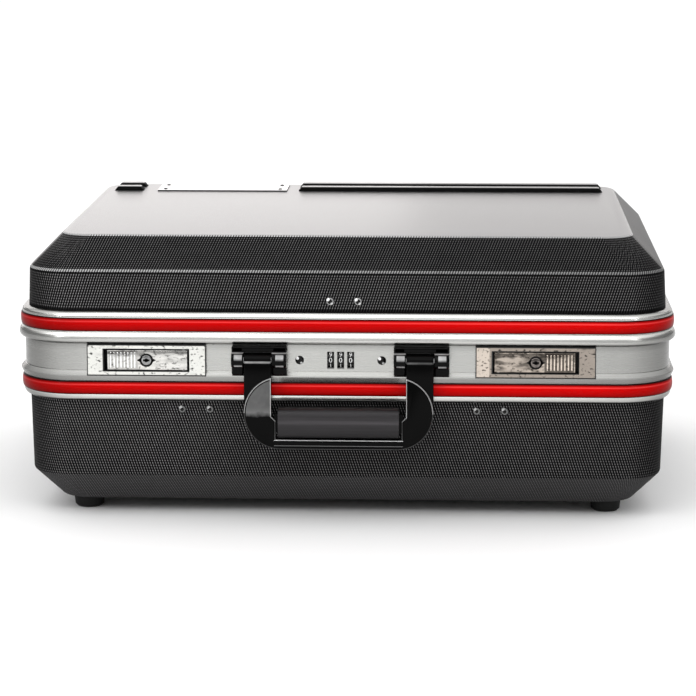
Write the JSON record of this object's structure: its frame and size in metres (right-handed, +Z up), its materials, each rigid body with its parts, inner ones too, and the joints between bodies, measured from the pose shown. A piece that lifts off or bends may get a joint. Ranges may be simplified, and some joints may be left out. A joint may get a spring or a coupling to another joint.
{
  "type": "hard tool case",
  "caption": "Hard case with a hinged lid, metal frames with coloured trims, key latches, a dial lock between them and a folding carrying handle.",
  "frame": {"origin": "middle of the bounding box, on the floor under the feet", "axes": "+X along the case's width to the right seen from the front, +Y to the rear where the hinges are, +Z up through the lid"},
  "size_m": [0.5, 0.3978, 0.2168],
  "materials": {
    "shell_plastic": "black with a fine diamond grain",
    "frame_aluminium": "satin, brushed along the frame",
    "trim_red": "glossy red",
    "seal_rubber": "soft black",
    "foot_rubber": "matt black",
    "screw_steel": "zinc plated",
    "rivet_black": "black",
    "inner_steel": "zinc plated",
    "bracket_plastic": "glossy black",
    "grip_plastic": "matt dark grey",
    "pin_steel": "plain",
    "latch_chrome": "satin chrome",
    "hinge_steel": "nickel plated",
    "stay_steel": "zinc plated",
    "plate_aluminium": "satin, bare",
    "dial_plastic": "black with white digits"
  },
  "bodies": {
    "base": {"base_shell": "shell_plastic", "base_frame": "frame_aluminium", "base_trim": "trim_red", "feet": "foot_rubber", "foot_screws": "screw_steel", "base_rivets": "rivet_black", "base_clips": "inner_steel", "handle_bracket_left": "bracket_plastic", "handle_bracket_right": "bracket_plastic", "handle_pin_left": "pin_steel", "handle_pin_right": "pin_steel", "bracket_screws": "screw_steel", "latch_left_housing": "latch_chrome", "latch_right_housing": "latch_chrome", "latch_left_pin": "pin_steel", "latch_right_pin": "pin_steel", "latch_screws": "screw_steel", "lock_body": "inner_steel", "lock_shaft": "pin_steel", "lock_screws": "latch_chrome", "hinge_left_base_leaf": "hinge_steel", "hinge_right_base_leaf": "hinge_steel", "hinge_left_pin": "pin_steel", "hinge_right_pin": "pin_steel", "hinge_base_rivets": "hinge_steel", "stay_base_pivots": "pin_steel"},
    "lid": {"lid_shell": "shell_plastic", "lid_frame": "frame_aluminium", "lid_trim": "trim_red", "lid_seal": "seal_rubber", "name_plate": "plate_aluminium", "plate_rivets": "plate_aluminium", "lid_rivets": "rivet_black", "lid_clip": "inner_steel", "hinge_left_lid_leaf": "hinge_steel", "hinge_right_lid_leaf": "hinge_steel", "hinge_lid_rivets": "hinge_steel", "latch_left_striker": "inner_steel", "latch_right_striker": "inner_steel", "lock_catch": "inner_steel", "stay_lid_pivots": "pin_steel"},
    "handle": {"handle_bow": "bracket_plastic", "handle_grip": "grip_plastic"},
    "left_lever": {"latch_left_lever": "latch_chrome"},
    "right_lever": {"latch_right_lever": "latch_chrome"},
    "left_cylinder": {"latch_left_cylinder": "latch_chrome"},
    "right_cylinder": {"latch_right_cylinder": "latch_chrome"},
    "left_bolt": {"latch_left_bolt": "inner_steel"},
    "right_bolt": {"latch_right_bolt": "inner_steel"},
    "dial_a": {"dial_1": "dial_plastic"},
    "dial_b": {"dial_2": "dial_plastic"},
    "dial_c": {"dial_3": "dial_plastic"},
    "slide": {"lock_slide": "inner_steel"},
    "left_base_link": {"stay_left_base_link": "stay_steel"},
    "right_base_link": {"stay_right_base_link": "stay_steel"},
    "left_lid_link": {"stay_left_lid_link": "stay_steel"},
    "right_lid_link": {"stay_right_lid_link": "stay_steel"}
  },
  "joints": [
    {"name": "lid_hinge", "type": "hinge", "parent": "base", "child": "lid", "pos_m": [0, 0.1961, 0.1348], "axis": [-1, 0, 0], "range_deg": [0, 95]},
    {"name": "handle_swing", "type": "hinge", "parent": "base", "child": "handle", "pos_m": [-0.0024, -0.1888, 0.1244], "axis": [-1, 0, 0], "range_deg": [0, 100]},
    {"name": "left_latch_lift", "type": "hinge", "parent": "base", "child": "left_lever", "pos_m": [-0.1204, -0.1814, 0.1227], "axis": [0, 0, 1], "range_deg": [0, 30], "stiffness_Nm_per_rad": 0.05},
    {"name": "right_latch_lift", "type": "hinge", "parent": "base", "child": "right_lever", "pos_m": [0.1156, -0.1814, 0.1227], "axis": [0, 0, -1], "range_deg": [0, 30], "stiffness_Nm_per_rad": 0.05},
    {"name": "left_key_turn", "type": "hinge", "parent": "left_lever", "child": "left_cylinder", "pos_m": [-0.1482, -0.1846, 0.1227], "axis": [0, 1, 0], "range_deg": [0, 90]},
    {"name": "right_key_turn", "type": "hinge", "parent": "right_lever", "child": "right_cylinder", "pos_m": [0.1434, -0.1846, 0.1227], "axis": [0, -1, 0], "range_deg": [0, 90]},
    {"name": "left_bolt_slide", "type": "slide", "parent": "base", "child": "left_bolt", "axis": [-1, 0, 0], "range_m": [0, 0.0045]},
    {"name": "right_bolt_slide", "type": "slide", "parent": "base", "child": "right_bolt", "axis": [1, 0, 0], "range_m": [0, 0.0045]},
    {"name": "dial_a_turn", "type": "hinge", "parent": "base", "child": "dial_a", "pos_m": [-0.0024, -0.1751, 0.1231], "axis": [1, 0, 0], "continuous": true},
    {"name": "dial_b_turn", "type": "hinge", "parent": "base", "child": "dial_b", "pos_m": [-0.0024, -0.1751, 0.1231], "axis": [1, 0, 0], "continuous": true},
    {"name": "dial_c_turn", "type": "hinge", "parent": "base", "child": "dial_c", "pos_m": [-0.0024, -0.1751, 0.1231], "axis": [1, 0, 0], "continuous": true},
    {"name": "lock_slide_move", "type": "slide", "parent": "base", "child": "slide", "axis": [-1, 0, 0], "range_m": [0, 0.003], "stiffness_N_per_m": 60},
    {"name": "left_base_link_turn", "type": "hinge", "parent": "base", "child": "left_base_link", "pos_m": [0, 0.0571, 0.0959], "axis": [-1, 0, 0], "range_deg": [0, 95]},
    {"name": "right_base_link_turn", "type": "hinge", "parent": "base", "child": "right_base_link", "pos_m": [0, 0.0571, 0.0959], "axis": [-1, 0, 0], "range_deg": [0, 95]},
    {"name": "left_lid_link_turn", "type": "hinge", "parent": "lid", "child": "left_lid_link", "pos_m": [0, 0.0581, 0.1547], "axis": [-1, 0, 0], "range_deg": [-95, 0]},
    {"name": "right_lid_link_turn", "type": "hinge", "parent": "lid", "child": "right_lid_link", "pos_m": [0, 0.0581, 0.1547], "axis": [-1, 0, 0], "range_deg": [-95, 0]}
  ],
  "couplings": [
    {"joint": "left_bolt_slide", "follows": "left_latch_lift", "m_per_rad": 0.0085},
    {"joint": "right_bolt_slide", "follows": "right_latch_lift", "m_per_rad": 0.0085},
    {"joint": "left_base_link_turn", "follows": "lid_hinge", "ratio": 1},
    {"joint": "right_base_link_turn", "follows": "lid_hinge", "ratio": 1},
    {"joint": "left_lid_link_turn", "follows": "lid_hinge", "ratio": -1},
    {"joint": "right_lid_link_turn", "follows": "lid_hinge", "ratio": -1}
  ]
}
